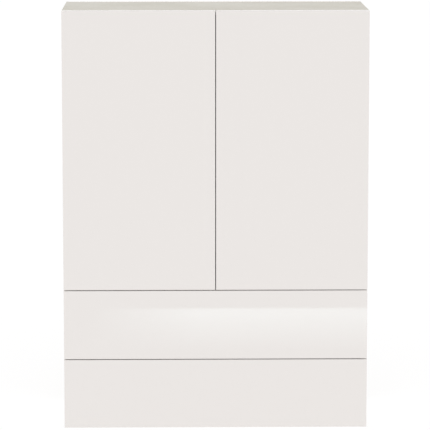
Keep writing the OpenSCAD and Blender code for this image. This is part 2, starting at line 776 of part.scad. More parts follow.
// The drawer bottom runs under the back, so the back starts on top of it.
module drawer_back(front_z) {
    z = front_z + box_lift;
    z0 = z + bottom_lift + drawer_bottom_t + fit;
    color("white") translate([-box_w / 2 + box_t, box_rear_y - box_t, z0])
        cube([box_w - 2 * box_t, box_t, z + box_h - back_drop - z0]);
}

module drawer_bottom(front_z) {
    color("white")
        translate([-box_w / 2 + box_t - bottom_groove + fit, front_back_y - bottom_groove + fit,
                   front_z + box_lift + bottom_lift])
            cube([box_w - 2 * (box_t - bottom_groove + fit), box_l + bottom_groove - fit, drawer_bottom_t]);
}

// Cams and bolts that pull the box sides against the front.
module drawer_cams(front_z) {
    color("silver") drawer_joint_positions(front_z) {
        translate([0, drawer_cam_setback, 0]) rotate([0, 90, 0]) rotate([0, 0, -90])
            cam(drawer_cam_depth, box_t / 2);
        rod_y([box_t / 2, -bolt_thread_l + fit, 0], bolt_thread_r - fit / 2, bolt_thread_l);
        rod_y([box_t / 2, 0, 0], bolt_r, drawer_cam_setback - bolt_end);
    }
}

side_panel(-1);  // left_side_panel
side_panel(1);  // right_side_panel
top_panel();
cross_panel(middle_z);  // middle_panel
cross_panel(floor_z);  // bottom_panel
upper_back_panel();
lower_back_panel();
back_panel_joiner();
shelf(1);  // upper_shelf
shelf(0);  // lower_shelf
shelf_pins();
cam_locks();
cam_bolts();
wood_dowels();
glides();
hinge_mounting_plates();
hinge_arms();
hinge_plate_screws();
hinge_adjusting_screws();
latch_housings();
latch_screws();
wall_brackets();
wall_bracket_screws();
runner_outer(upper_front_z);  // upper_runner_outer
runner_outer(lower_front_z);  // lower_runner_outer
runner_screws();
door_panel(-1);  // left_door_panel
hinge_cups(-1);  // left_hinge_cups
hinge_pins(-1);  // left_hinge_pins
cup_screws(-1);  // left_cup_screws
latch_plate(-1);  // left_latch_plate
door_panel(1);  // right_door_panel
hinge_cups(1);  // right_hinge_cups
hinge_pins(1);  // right_hinge_pins
cup_screws(1);  // right_cup_screws
latch_plate(1);  // right_latch_plate
latch_plunger(-1);  // left_latch_plunger
latch_plunger(1);  // right_latch_plunger
runner_middle(upper_front_z);  // upper_runner_middle
runner_middle(lower_front_z);  // lower_runner_middle
outer_ball_cages(upper_front_z);  // upper_outer_ball_cages
inner_ball_cages(upper_front_z);  // upper_inner_ball_cages
outer_ball_cages(lower_front_z);  // lower_outer_ball_cages
inner_ball_cages(lower_front_z);  // lower_inner_ball_cages
drawer_front(upper_front_z);  // upper_drawer_front
drawer_side(upper_front_z, -1);  // upper_drawer_left_side
drawer_side(upper_front_z, 1);  // upper_drawer_right_side
drawer_back(upper_front_z);  // upper_drawer_back
drawer_bottom(upper_front_z);  // upper_drawer_bottom
runner_inner(upper_front_z);  // upper_runner_inner
drawer_cams(upper_front_z);  // upper_drawer_cams
drawer_front(lower_front_z);  // lower_drawer_front
drawer_side(lower_front_z, -1);  // lower_drawer_left_side
drawer_side(lower_front_z, 1);  // lower_drawer_right_side
drawer_back(lower_front_z);  // lower_drawer_back
drawer_bottom(lower_front_z);  // lower_drawer_bottom
runner_inner(lower_front_z);  // lower_runner_inner
drawer_cams(lower_front_z);  // lower_drawer_cams
drawer_runner_screws(upper_front_z);  // upper_drawer_runner_screws
drawer_runner_screws(lower_front_z);  // lower_drawer_runner_screws
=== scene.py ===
from math import pi, radians

import bmesh
import bpy
from mathutils import Matrix, Vector


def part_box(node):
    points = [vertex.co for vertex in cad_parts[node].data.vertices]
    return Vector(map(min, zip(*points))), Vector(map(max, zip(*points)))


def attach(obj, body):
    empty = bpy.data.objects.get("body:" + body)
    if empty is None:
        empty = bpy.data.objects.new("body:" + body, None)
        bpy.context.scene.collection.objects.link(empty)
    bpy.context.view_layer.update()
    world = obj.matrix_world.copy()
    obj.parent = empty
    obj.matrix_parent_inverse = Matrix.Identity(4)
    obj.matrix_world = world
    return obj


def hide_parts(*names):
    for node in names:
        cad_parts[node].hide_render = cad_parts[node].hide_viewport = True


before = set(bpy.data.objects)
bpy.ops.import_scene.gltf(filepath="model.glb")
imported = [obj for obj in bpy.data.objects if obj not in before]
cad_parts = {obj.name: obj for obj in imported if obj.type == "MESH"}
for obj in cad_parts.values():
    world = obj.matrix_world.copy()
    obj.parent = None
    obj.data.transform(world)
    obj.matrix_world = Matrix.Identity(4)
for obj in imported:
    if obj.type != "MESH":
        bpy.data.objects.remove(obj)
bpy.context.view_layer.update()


# ---------------------------------------------------------------------------
# Side panels of the carcass.
# Particle board faced with white melamine. The front edge carries a glued edge band, the rear
# and lower edges stay raw, and all the banded corners are eased by a scraper.

def new_finish(name):
    """An empty node material with its shader: returns (material, nodes, links, shader)."""
    material = bpy.data.materials.new(name)
    material.use_nodes = True
    nodes, links = material.node_tree.nodes, material.node_tree.links
    return material, nodes, links, nodes["Principled BSDF"]


def group_of(name, inputs, outputs):
    """An empty shader node group: returns (group, nodes, links, its inputs, its outputs)."""
    group = bpy.data.node_groups.new(name, "ShaderNodeTree")
    for label, kind, value in inputs:
        group.interface.new_socket(label, in_out="INPUT", socket_type=kind).default_value = value
    for label, kind in outputs:
        group.interface.new_socket(label, in_out="OUTPUT", socket_type=kind)
    entry, leave = group.nodes.new("NodeGroupInput"), group.nodes.new("NodeGroupOutput")
    return group, group.nodes, group.links, entry.outputs, leave.inputs


def placed(nodes, group, **values):
    """A group placed in a material with its own values."""
    node = nodes.new("ShaderNodeGroup")
    node.node_tree = group
    for label, value in values.items():
        node.inputs[label.replace("_", " ")].default_value = value
    return node


def noise_in(nodes, links, scale, detail, coordinates):
    """A noise texture on the given coordinates, scaled by a socket or a number."""
    noise = nodes.new("ShaderNodeTexNoise")
    noise.inputs["Detail"].default_value = detail
    links.new(coordinates, noise.inputs["Vector"])
    if isinstance(scale, (int, float)):
        noise.inputs["Scale"].default_value = scale
    else:
        links.new(scale, noise.inputs["Scale"])
    return noise


def fine_texture_group():
    """The pressed or sprayed relief of a surface: fine noise and a slower waviness."""
    group, nodes, links, given, out = group_of(
        "fine_texture",
        [("Scale", "NodeSocketFloat", 900.0), ("Depth", "NodeSocketFloat", 0.1),
         ("Waviness", "NodeSocketFloat", 0.2)],
        [("Normal", "NodeSocketVector")])
    place = nodes.new("ShaderNodeTexCoord")
    fine = noise_in(nodes, links, given["Scale"], 3.0, place.outputs["Object"])
    slow = noise_in(nodes, links, 28.0, 1.0, place.outputs["Object"])
    share = nodes.new("ShaderNodeMath")
    share.operation = "MULTIPLY_ADD"
    links.new(slow.outputs["Fac"], share.inputs[0])
    links.new(given["Waviness"], share.inputs[1])
    links.new(fine.outputs["Fac"], share.inputs[2])
    bump = nodes.new("ShaderNodeBump")
    bump.inputs["Distance"].default_value = 0.0002
    links.new(given["Depth"], bump.inputs["Strength"])
    links.new(share.outputs["Value"], bump.inputs["Height"])
    links.new(bump.outputs["Normal"], out["Normal"])
    return group


def handling_and_edge_shade_group():
    """Cloudy marks of wiping and handling in the roughness, fine dust specks, and painted shade: a thin
    darker line on edges and in corners.
    """
    group, nodes, links, given, out = group_of(
        "handling_and_edge_shade",
        [("Clean", "NodeSocketColor", (0.8, 0.8, 0.8, 1.0)),
         ("Soiled", "NodeSocketColor", (0.7, 0.7, 0.7, 1.0)),
         ("Low", "NodeSocketFloat", 0.3), ("High", "NodeSocketFloat", 0.4),
         ("Edge", "NodeSocketFloat", 0.0015)],
        [("Color", "NodeSocketColor"), ("Roughness", "NodeSocketFloat")])
    place = nodes.new("ShaderNodeTexCoord")
    clouds = noise_in(nodes, links, 4.0, 3.0, place.outputs["Object"])
    specks = noise_in(nodes, links, 420.0, 2.0, place.outputs["Object"])
    fog = nodes.new("ShaderNodeMapRange")
    fog.inputs["From Min"].default_value, fog.inputs["From Max"].default_value = 0.35, 0.7
    links.new(clouds.outputs["Fac"], fog.inputs["Value"])
    links.new(given["Low"], fog.inputs["To Min"])
    links.new(given["High"], fog.inputs["To Max"])
    links.new(fog.outputs["Result"], out["Roughness"])
    # painted shade on edges and in corners: where the rounded normal leaves the flat one, the colour turns
    # darker
    rounded = nodes.new("ShaderNodeBevel")
    rounded.samples = 4
    links.new(given["Edge"], rounded.inputs["Radius"])
    surface = nodes.new("ShaderNodeNewGeometry")
    facing = nodes.new("ShaderNodeVectorMath")
    facing.operation = "DOT_PRODUCT"
    links.new(rounded.outputs["Normal"], facing.inputs[0])
    links.new(surface.outputs["Normal"], facing.inputs[1])
    edge = nodes.new("ShaderNodeMapRange")
    edge.inputs["From Min"].default_value, edge.inputs["From Max"].default_value = 1.0, 0.8
    edge.inputs["To Max"].default_value = 0.5
    links.new(facing.outputs["Value"], edge.inputs["Value"])
    dust = nodes.new("ShaderNodeMapRange")
    dust.inputs["From Min"].default_value, dust.inputs["From Max"].default_value = 0.55, 0.75
    dust.inputs["To Max"].default_value = 0.25
    links.new(specks.outputs["Fac"], dust.inputs["Value"])
    # the painted edge shade and the real dust specks together pull the colour towards the darker one
    both = nodes.new("ShaderNodeMath")
    both.operation, both.use_clamp = "ADD", True
    links.new(edge.outputs["Result"], both.inputs[0])
    links.new(dust.outputs["Result"], both.inputs[1])
    blend = nodes.new("ShaderNodeMix")
    blend.data_type = "RGBA"
    links.new(both.outputs["Value"], blend.inputs["Factor"])
    links.new(given["Clean"], blend.inputs["A"])
    links.new(given["Soiled"], blend.inputs["B"])
    links.new(blend.outputs["Result"], out["Color"])
    return group


fine_texture = fine_texture_group()
handling_and_edge_shade = handling_and_edge_shade_group()


def coated_finish(name, clean, dust_and_shade, low, high, scale, depth, waviness=0.0, edge=0.0012, metallic=0.0):
    """A finish with dust specks and painted shade on edges and in corners in its colour, handling marks in
    its roughness (low to high), and a fine relief.
    """
    material, nodes, links, shader = new_finish(name)
    shader.inputs["Metallic"].default_value = metallic
    marks = placed(nodes, handling_and_edge_shade, Clean=(*clean, 1.0), Soiled=(*dust_and_shade, 1.0), Low=low, High=high, Edge=edge)
    relief = placed(nodes, fine_texture, Scale=scale, Depth=depth, Waviness=waviness)
    links.new(marks.outputs["Color"], shader.inputs["Base Color"])
    links.new(marks.outputs["Roughness"], shader.inputs["Roughness"])
    links.new(relief.outputs["Normal"], shader.inputs["Normal"])
    return material


def particle_board_finish():
    """Pressed chips: pale flakes of many sizes between darker ones, with open pores."""
    material, nodes, links, shader = new_finish("raw_particle_board")
    place = nodes.new("ShaderNodeTexCoord")
    flakes = nodes.new("ShaderNodeTexVoronoi")
    flakes.inputs["Scale"].default_value = 420.0
    flakes.inputs["Randomness"].default_value = 1.0
    stretch = nodes.new("ShaderNodeMapping")
    stretch.inputs["Scale"].default_value = (1.0, 1.0, 0.45)
    links.new(place.outputs["Object"], stretch.inputs["Vector"])
    links.new(stretch.outputs["Vector"], flakes.inputs["Vector"])
    shade = nodes.new("ShaderNodeValToRGB")
    stops = shade.color_ramp.elements
    stops[0].position, stops[0].color = 0.15, (0.17, 0.10, 0.05, 1.0)
    stops[1].position, stops[1].color = 0.9, (0.55, 0.40, 0.24, 1.0)
    stops.new(0.45).color = (0.38, 0.25, 0.13, 1.0)
    links.new(flakes.outputs["Color"], shade.inputs["Fac"])
    pores = noise_in(nodes, links, 1500.0, 2.0, place.outputs["Object"])
    darker = nodes.new("ShaderNodeMix")
    darker.data_type, darker.blend_type = "RGBA", "MULTIPLY"
    darker.inputs["Factor"].default_value = 0.5
    links.new(shade.outputs["Color"], darker.inputs["A"])
    links.new(pores.outputs["Color"], darker.inputs["B"])
    links.new(darker.outputs["Result"], shader.inputs["Base Color"])
    shader.inputs["Roughness"].default_value = 0.85
    bump = nodes.new("ShaderNodeBump")
    bump.inputs["Strength"].default_value = 0.5
    bump.inputs["Distance"].default_value = 0.0004
    links.new(flakes.outputs["Distance"], bump.inputs["Height"])
    links.new(bump.outputs["Normal"], shader.inputs["Normal"])
    return material


melamine = coated_finish("white_melamine", (0.845, 0.815, 0.79), (0.78, 0.75, 0.72),
                         0.34, 0.44, 1300.0, 0.12)
edge_band = coated_finish("white_edge_band", (0.85, 0.82, 0.795), (0.77, 0.74, 0.71),
                          0.28, 0.38, 2200.0, 0.05)
raw_board = particle_board_finish()

BAND_EASING = 0.0006        # corner of a banded board
OUTSIDE, FRONT_EDGE, RAW = 0, 1, 2    # places of the finishes in a board's list
ON_PLANE = 1e-5             # nearer than this, a point lies on an outer plane of its board


def eased_board(node, body, finishes, side_of, easing, steps=2):
    """The node's board with its outer corners rounded over. side_of gives each face its finish."""
    low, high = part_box(node)
    board = bmesh.new()
    board.from_mesh(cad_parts[node].data)
    bmesh.ops.remove_doubles(board, verts=board.verts, dist=1e-6)
    bmesh.ops.dissolve_limit(board, angle_limit=radians(0.5), verts=board.verts, edges=board.edges)

    def walls(vertex):
        """Which of the six outer planes the vertex lies on."""
        return {(i, w) for i in range(3) for w, edge in enumerate((low, high))
                if abs(vertex.co[i] - edge[i]) < ON_PLANE}

    for face in board.faces:
        middle = face.calc_center_median()
        outer = any(min(abs(middle[i] - low[i]), abs(middle[i] - high[i])) < ON_PLANE for i in range(3))
        face.material_index = side_of(face.normal) if outer else RAW
        face.smooth = False
    corners = [e for e in board.edges if len(walls(e.verts[0]) & walls(e.verts[1])) == 2]
    bmesh.ops.bevel(board, geom=corners, offset=easing, offset_type="OFFSET", segments=steps,
                    affect="EDGES", profile=0.5, material=-1, clamp_overlap=True)
    mesh = bpy.data.meshes.new(node + "_eased")
    board.to_mesh(mesh)
    board.free()
    for finish in finishes:
        mesh.materials.append(finish)
    piece = bpy.data.objects.new(node + "_eased", mesh)
    bpy.context.scene.collection.objects.link(piece)
    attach(piece, body)
    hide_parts(node)


def side_panel_faces(normal):
    if abs(normal.x) > 0.9:
        return OUTSIDE
    return FRONT_EDGE if normal.y < -0.9 else RAW


for node in ("left_side_panel", "right_side_panel"):
    eased_board(node, "cabinet", (melamine, edge_band, raw_board),
                side_panel_faces, BAND_EASING)


# ---------------------------------------------------------------------------
# Top, middle and bottom panels, and the two shelves.
# The top lies over the sides: its upper face is lacquered in a colour painted darker and warmer than the
# fronts, as painted shade for the dim light from overhead; its edges are banded and its underside is
# melamine. The others are melamine boards with banded front edges, cut square at their ends.

LACQUERED = 3
TOP_EASING = 0.0008         # corner of the top panel
# painted shade: the top's lacquer is coloured darker and warmer than the white fronts to stand in for the dim
# light from overhead
shaded_top_lacquer = coated_finish("shaded_top_lacquer", (0.760, 0.724, 0.628), (0.67, 0.635, 0.55),
                            0.42, 0.55, 700.0, 0.06)


def top_faces(normal):
    if normal.z > 0.9:
        return LACQUERED
    if normal.z < -0.9:
        return OUTSIDE
    return RAW if normal.y > 0.9 else FRONT_EDGE


def flat_board_faces(normal):
    if abs(normal.z) > 0.9:
        return OUTSIDE
    return FRONT_EDGE if normal.y < -0.9 else RAW


eased_board("top_panel", "cabinet", (melamine, edge_band, raw_board, shaded_top_lacquer),
            top_faces, TOP_EASING, 3)
for node in ("middle_panel", "bottom_panel", "upper_shelf", "lower_shelf"):
    eased_board(node, "cabinet", (melamine, edge_band, raw_board),
                flat_board_faces, BAND_EASING)


# ---------------------------------------------------------------------------
# Back panels and the strip between them.
# Thin hardboard, painted white towards the inside. The rear keeps the brown fibres and the woven
# print of the press screen. The joint strip is an extruded plastic H that the sheets slide into.

def raw_hardboard_finish():
    material, nodes, links, shader = new_finish("raw_hardboard")
    place = nodes.new("ShaderNodeTexCoord")
    clouds = noise_in(nodes, links, 26.0, 5.0, place.outputs["Object"])
    fibres = noise_in(nodes, links, 650.0, 4.0, place.outputs["Object"])
    mottle = nodes.new("ShaderNodeValToRGB")
    stops = mottle.color_ramp.elements
    stops[0].position, stops[0].color = 0.25, (0.255, 0.150, 0.078, 1.0)
    stops[1].position, stops[1].color = 0.75, (0.305, 0.185, 0.098, 1.0)
    links.new(clouds.outputs["Fac"], mottle.inputs["Fac"])
    strands = nodes.new("ShaderNodeMix")
    strands.data_type, strands.blend_type = "RGBA", "OVERLAY"
    strands.inputs["Factor"].default_value = 0.55
    links.new(mottle.outputs["Color"], strands.inputs["A"])
    links.new(fibres.outputs["Fac"], strands.inputs["B"])
    links.new(strands.outputs["Result"], shader.inputs["Base Color"])
    shader.inputs["Roughness"].default_value = 0.72
    # print of the screen: two crossed sets of ridges
    ridges = []
    for direction in ("X", "Z"):
        wave = nodes.new("ShaderNodeTexWave")
        wave.bands_direction = direction
        wave.inputs["Scale"].default_value = 160.0
        wave.inputs["Distortion"].default_value = 0.6
        links.new(place.outputs["Object"], wave.inputs["Vector"])
        ridges.append(wave)
    weave = nodes.new("ShaderNodeMath")
    weave.operation = "MAXIMUM"
    for i, wave in enumerate(ridges):
        links.new(wave.outputs["Fac"], weave.inputs[i])
    bump = nodes.new("ShaderNodeBump")
    bump.inputs["Strength"].default_value = 0.35
    bump.inputs["Distance"].default_value = 0.0002
    links.new(weave.outputs["Value"], bump.inputs["Height"])
    links.new(bump.outputs["Normal"], shader.inputs["Normal"])
    return material


painted_hardboard = coated_finish("painted_hardboard", (0.78, 0.77, 0.74), (0.70, 0.69, 0.66),
                                  0.5, 0.6, 1000.0, 0.15)
raw_hardboard = raw_hardboard_finish()

for node in ("upper_back_panel", "lower_back_panel"):
    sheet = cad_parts[node].data
    sheet.materials.clear()
    sheet.materials.append(painted_hardboard)
    sheet.materials.append(raw_hardboard)
    for face in sheet.polygons:
        face.material_index = 0 if face.normal.y < -0.5 else 1


def dressed(finish, *names):
    """CAD nodes that keep their shape and take this finish."""
    for name in names:
        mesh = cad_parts[name].data
        mesh.materials.clear()
        mesh.materials.append(finish)


white_plastic = coated_finish("white_plastic", (0.78, 0.78, 0.76), (0.66, 0.66, 0.63),
                              0.38, 0.5, 1800.0, 0.2, edge=0.0006)
dressed(white_plastic, "back_panel_joiner", "latch_housings", "glides")


# ---------------------------------------------------------------------------
# Doors and drawer fronts.
# Medium-density board sprayed with high-gloss white lacquer on every side. The corners are
# rounded before spraying, and the lacquer keeps a faint orange-peel.

gloss_lacquer = coated_finish("gloss_white_lacquer", (0.852, 0.817, 0.793), (0.80, 0.765, 0.74),
                              0.02, 0.035, 240.0, 0.012, waviness=0.6, edge=0.0006)
bored_board, bore_nodes, bore_links, bore_shader = new_finish("bored_fibre_board")
bore_place = bore_nodes.new("ShaderNodeTexCoord")
bore_fibres = noise_in(bore_nodes, bore_links, 900.0, 3.0, bore_place.outputs["Object"])
bore_shade = bore_nodes.new("ShaderNodeValToRGB")
bore_shade.color_ramp.elements[0].color = (0.25, 0.17, 0.10, 1.0)
bore_shade.color_ramp.elements[1].color = (0.45, 0.33, 0.21, 1.0)
bore_links.new(bore_fibres.outputs["Fac"], bore_shade.inputs["Fac"])
bore_links.new(bore_shade.outputs["Color"], bore_shader.inputs["Base Color"])
bore_shader.inputs["Roughness"].default_value = 0.8


def lacquered_all_round(normal):
    return OUTSIDE


FRONT_EASING = 0.00055      # corner of a lacquered front
for node, body in (("left_door_panel", "left_door"), ("right_door_panel", "right_door"),
                   ("upper_drawer_front", "upper_drawer"), ("lower_drawer_front", "lower_drawer")):
    eased_board(node, body, (gloss_lacquer, gloss_lacquer, bored_board),
                lacquered_all_round, FRONT_EASING, 3)


# ---------------------------------------------------------------------------
# Drawer boxes.
# Thin particle board wrapped in white foil, with a painted hardboard bottom that slides in
# grooves. The ends of the boards stay raw where they butt against each other.

BOX_EASING = 0.0005         # corner of a drawer board
drawer_foil = coated_finish("drawer_foil", (0.79, 0.785, 0.765), (0.72, 0.71, 0.69),
                            0.42, 0.5, 1500.0, 0.08)


def drawer_side_faces(normal):
    return RAW if abs(normal.y) > 0.9 else OUTSIDE


def drawer_back_faces(normal):
    return RAW if abs(normal.x) > 0.9 else OUTSIDE


for level in ("upper", "lower"):
    body = level + "_drawer"
    for part in ("_left_side", "_right_side"):
        eased_board(body + part, body, (drawer_foil, drawer_foil, raw_board),
                    drawer_side_faces, BOX_EASING)
    eased_board(body + "_back", body, (drawer_foil, drawer_foil, raw_board),
                drawer_back_faces, BOX_EASING)
    dressed(painted_hardboard, body + "_bottom")


# ---------------------------------------------------------------------------
# Hinges, brackets, runners, screws and cams.
# Pressed and folded steel with a nickel or zinc coat, and cams of die-cast zinc. They are
# screwed into the boards and keep the fine lines of rolling and tumbling.

nickel_steel = coated_finish("nickel_steel", (0.62, 0.61, 0.585), (0.42, 0.41, 0.39),
                             0.22, 0.34, 2500.0, 0.10, edge=0.0004, metallic=1.0)
rolled_steel = coated_finish("zinc_coated_runner", (0.56, 0.565, 0.57), (0.40, 0.40, 0.40),
                             0.30, 0.42, 1800.0, 0.12, edge=0.0005, metallic=1.0)
zinc_screw = coated_finish("zinc_screw", (0.60, 0.60, 0.57), (0.34, 0.33, 0.31),
                           0.26, 0.4, 3000.0, 0.15, edge=0.0003, metallic=1.0)
cast_zinc = coated_finish("cast_zinc", (0.48, 0.48, 0.475), (0.30, 0.30, 0.29),
                          0.42, 0.58, 1600.0, 0.3, edge=0.0004, metallic=1.0)
black_plastic = coated_finish("black_plastic", (0.03, 0.03, 0.032), (0.08, 0.08, 0.08),
                              0.35, 0.5, 1800.0, 0.15, edge=0.0003)
grey_plastic = coated_finish("grey_plastic", (0.50, 0.50, 0.50), (0.38, 0.38, 0.37),
                             0.3, 0.42, 1800.0, 0.12, edge=0.0005)

dressed(nickel_steel, "hinge_mounting_plates", "hinge_arms", "left_hinge_cups", "right_hinge_cups",
        "left_latch_plate", "right_latch_plate", "wall_brackets", "shelf_pins")
dressed(rolled_steel, "upper_runner_outer", "lower_runner_outer", "upper_runner_middle",
        "lower_runner_middle", "upper_runner_inner", "lower_runner_inner")
dressed(zinc_screw, "hinge_plate_screws", "hinge_adjusting_screws", "latch_screws", "wall_bracket_screws",
        "runner_screws", "left_cup_screws", "right_cup_screws", "left_hinge_pins", "right_hinge_pins",
        "cam_bolts", "upper_drawer_runner_screws", "lower_drawer_runner_screws")
dressed(cast_zinc, "cam_locks", "upper_drawer_cams", "lower_drawer_cams")
dressed(black_plastic, "upper_outer_ball_cages", "upper_inner_ball_cages", "lower_outer_ball_cages",
        "lower_inner_ball_cages")
dressed(grey_plastic, "left_latch_plunger", "right_latch_plunger")


# ---------------------------------------------------------------------------
# Balls of the drawer runners.
# Hardened steel balls, held at an even pitch by the plastic cages. They roll between the lips of
# the channels and carry the drawer.

ball_steel = coated_finish("ball_steel", (0.70, 0.70, 0.70), (0.50, 0.50, 0.49),
                           0.08, 0.14, 2500.0, 0.04, edge=0.0002, metallic=1.0)
BALLS_IN_A_CAGE = 9
CAGE_END = 0.007            # first ball from the end of its cage
CAGE_THICKNESS, CAGE_WIDTH = 0.0008, 0.0026
OUTER_BALL_RADIUS, INNER_BALL_RADIUS = 0.0019, 0.00185


def runner_balls(cages, body, radius):
    """Balls along all four strips of one pair of runners."""
    low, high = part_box(cages)
    pitch = (high.y - low.y - 2 * CAGE_END) / (BALLS_IN_A_CAGE - 1)
    balls = bmesh.new()
    for x in (low.x + CAGE_THICKNESS / 2, high.x - CAGE_THICKNESS / 2):
        for z in (low.z + CAGE_WIDTH / 2, high.z - CAGE_WIDTH / 2):
            for i in range(BALLS_IN_A_CAGE):
                bmesh.ops.create_uvsphere(balls, u_segments=10, v_segments=6, radius=radius,
                                          matrix=Matrix.Translation((x, low.y + CAGE_END + i * pitch, z)))
    mesh = bpy.data.meshes.new(cages.replace("_ball_cages", "_balls"))
    balls.to_mesh(mesh)
    balls.free()
    for face in mesh.polygons:
        face.use_smooth = True
    mesh.materials.append(ball_steel)
    piece = bpy.data.objects.new(mesh.name, mesh)
    bpy.context.scene.collection.objects.link(piece)
    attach(piece, body)


for level in ("upper", "lower"):
    runner_balls(level + "_outer_ball_cages", level + "_outer_cages", OUTER_BALL_RADIUS)
    runner_balls(level + "_inner_ball_cages", level + "_inner_cages", INNER_BALL_RADIUS)


# ---------------------------------------------------------------------------
# Beech dowels.
# Short turned pins that line up the boards, glued into the ends of the panels.

beech, beech_nodes, beech_links, beech_shader = new_finish("raw_beech")
beech_place = beech_nodes.new("ShaderNodeTexCoord")
beech_grain = beech_nodes.new("ShaderNodeTexNoise")
beech_grain.inputs["Scale"].default_value = 300.0
beech_run = beech_nodes.new("ShaderNodeMapping")
beech_run.inputs["Scale"].default_value = (0.1, 1.0, 1.0)
beech_tone = beech_nodes.new("ShaderNodeValToRGB")
beech_tone.color_ramp.elements[0].color = (0.42, 0.26, 0.13, 1.0)
beech_tone.color_ramp.elements[1].color = (0.62, 0.43, 0.25, 1.0)
beech_links.new(beech_place.outputs["Object"], beech_run.inputs["Vector"])
beech_links.new(beech_run.outputs["Vector"], beech_grain.inputs["Vector"])
beech_links.new(beech_grain.outputs["Fac"], beech_tone.inputs["Fac"])
beech_links.new(beech_tone.outputs["Color"], beech_shader.inputs["Base Color"])
beech_shader.inputs["Roughness"].default_value = 0.65
dressed(beech, "wood_dowels")


# ---------------------------------------------------------------------------
# Door and drawer buffers.
# Small clear domes of soft polyurethane, stuck to the inner face of each door and drawer front
# where it meets the carcass.

buffer_clear, buffer_nodes, buffer_links, buffer_shader = new_finish("clear_buffer")
buffer_shader.inputs["Transmission Weight"].default_value = 0.6
buffer_shader.inputs["IOR"].default_value = 1.45
# the clear buffers take the same dust specks and painted edge shade in their colour
buffer_haze = placed(buffer_nodes, handling_and_edge_shade, Clean=(0.78, 0.79, 0.78, 1.0),
                     Soiled=(0.62, 0.62, 0.6, 1.0), Low=0.18, High=0.3, Edge=0.0004)
buffer_links.new(buffer_haze.outputs["Color"], buffer_shader.inputs["Base Color"])
buffer_links.new(buffer_haze.outputs["Roughness"], buffer_shader.inputs["Roughness"])


BUFFER_RADIUS = 0.004
DOOR_BUFFER_HEIGHT, DRAWER_BUFFER_HEIGHT = 0.0016, 0.0009
DOOR_BUFFER_INSET = 0.012       # from the free edge of a door
DOOR_BUFFER_DROP = 0.008        # upper one below the top of the door
DOOR_BUFFER_LIFT = 0.0045       # lower one above the foot of the door
DRAWER_BUFFER_INSET = 0.008     # from each end of a drawer front
DRAWER_BUFFER_MARGIN = 0.03     # from its upper and lower edge


def buffers(name, body, places, height):
    """Domes with their flat side on the inner face of a front, crowned towards the carcass."""
    dots = bmesh.new()
    for place in places:
        rim = dots.verts.new((BUFFER_RADIUS, 0.0, 0.0))
        shoulder = dots.verts.new((BUFFER_RADIUS * 0.94, 0.0, height * 0.55))
        crown = dots.verts.new((BUFFER_RADIUS * 0.6, 0.0, height * 0.93))
        centre = dots.verts.new((0.0, 0.0, height))
        base = dots.verts.new((0.0, 0.0, 0.0))
        edges = [dots.edges.new(pair) for pair in
                 ((base, rim), (rim, shoulder), (shoulder, crown), (crown, centre))]
        bmesh.ops.spin(dots, geom=[base, rim, shoulder, crown, centre, *edges], cent=(0, 0, 0),
                       axis=(0, 0, 1), angle=2 * pi, steps=20, use_merge=True)
        fresh = {v for v in dots.verts if not v.tag}
        turn = Matrix.Translation(place) @ Matrix.Rotation(radians(-90), 4, "X")
        bmesh.ops.transform(dots, matrix=turn, verts=list(fresh))
        for vertex in fresh:
            vertex.tag = True
    bmesh.ops.remove_doubles(dots, verts=dots.verts, dist=1e-7)
    bmesh.ops.recalc_face_normals(dots, faces=dots.faces)
    mesh = bpy.data.meshes.new(name)
    dots.to_mesh(mesh)
    dots.free()
    for face in mesh.polygons:
        face.use_smooth = True
    mesh.materials.append(buffer_clear)
    piece = bpy.data.objects.new(name, mesh)
    bpy.context.scene.collection.objects.link(piece)
    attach(piece, body)


for hand in ("left", "right"):
    low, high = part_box(hand + "_door_panel")
    x = high.x - DOOR_BUFFER_INSET if hand == "left" else low.x + DOOR_BUFFER_INSET
    buffers(hand + "_door_buffers", hand + "_door",
            [Vector((x, high.y, z)) for z in (high.z - DOOR_BUFFER_DROP, low.z + DOOR_BUFFER_LIFT)],
            DOOR_BUFFER_HEIGHT)
for level in ("upper", "lower"):
    low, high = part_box(level + "_drawer_front")
    buffers(level + "_drawer_buffers", level + "_drawer",
            [Vector((x, high.y, z)) for x in (low.x + DRAWER_BUFFER_INSET, high.x - DRAWER_BUFFER_INSET)
             for z in (low.z + DRAWER_BUFFER_MARGIN, high.z - DRAWER_BUFFER_MARGIN)],
            DRAWER_BUFFER_HEIGHT)


# ---------------------------------------------------------------------------
# Magnets in the latch plungers.
# Nickel-plated discs pressed into the plunger tips, which hold the steel plates on the doors.

MAGNET_RADIUS, MAGNET_THICKNESS = 0.0029, 0.0006
MAGNET_EASING = 0.00012
MAGNET_DEPTH = 0.0004       # middle of the magnet behind the tip of its plunger

for hand in ("left", "right"):
    low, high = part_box(hand + "_latch_plunger")
    centre = (low + high) / 2
    disc = bmesh.new()
    bmesh.ops.create_cone(disc, cap_ends=True, segments=32, radius1=MAGNET_RADIUS,
                          radius2=MAGNET_RADIUS, depth=MAGNET_THICKNESS)
    bmesh.ops.bevel(disc, geom=disc.edges[:], offset=MAGNET_EASING, offset_type="OFFSET", segments=2,
                    affect="EDGES", profile=0.5, material=-1)
    bmesh.ops.transform(disc, verts=disc.verts,
                        matrix=Matrix.Translation((centre.x, low.y + MAGNET_DEPTH, centre.z))
                        @ Matrix.Rotation(radians(90), 4, "X"))
    mesh = bpy.data.meshes.new(hand + "_latch_magnet")
    disc.to_mesh(mesh)
    disc.free()
    mesh.materials.append(nickel_steel)
    magnet = bpy.data.objects.new(hand + "_latch_magnet", mesh)
    bpy.context.scene.collection.objects.link(magnet)
    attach(magnet, hand + "_plunger")


# ---------------------------------------------------------------------------
# Studio: a plain pale floor under an even white surround.
# The floor is matt and bright enough to run into the surround, which is softer overhead and
# towards the sides.

FLOOR_REACH = 60.0          # from the cabinet to each edge of the floor
FLOOR_GLOW = 0.79
HORIZON_LIGHT, OVERHEAD_LIGHT = 1.29, 0.52
SIDE_LOSS = 0.22            # share of the light lost straight to the left and right

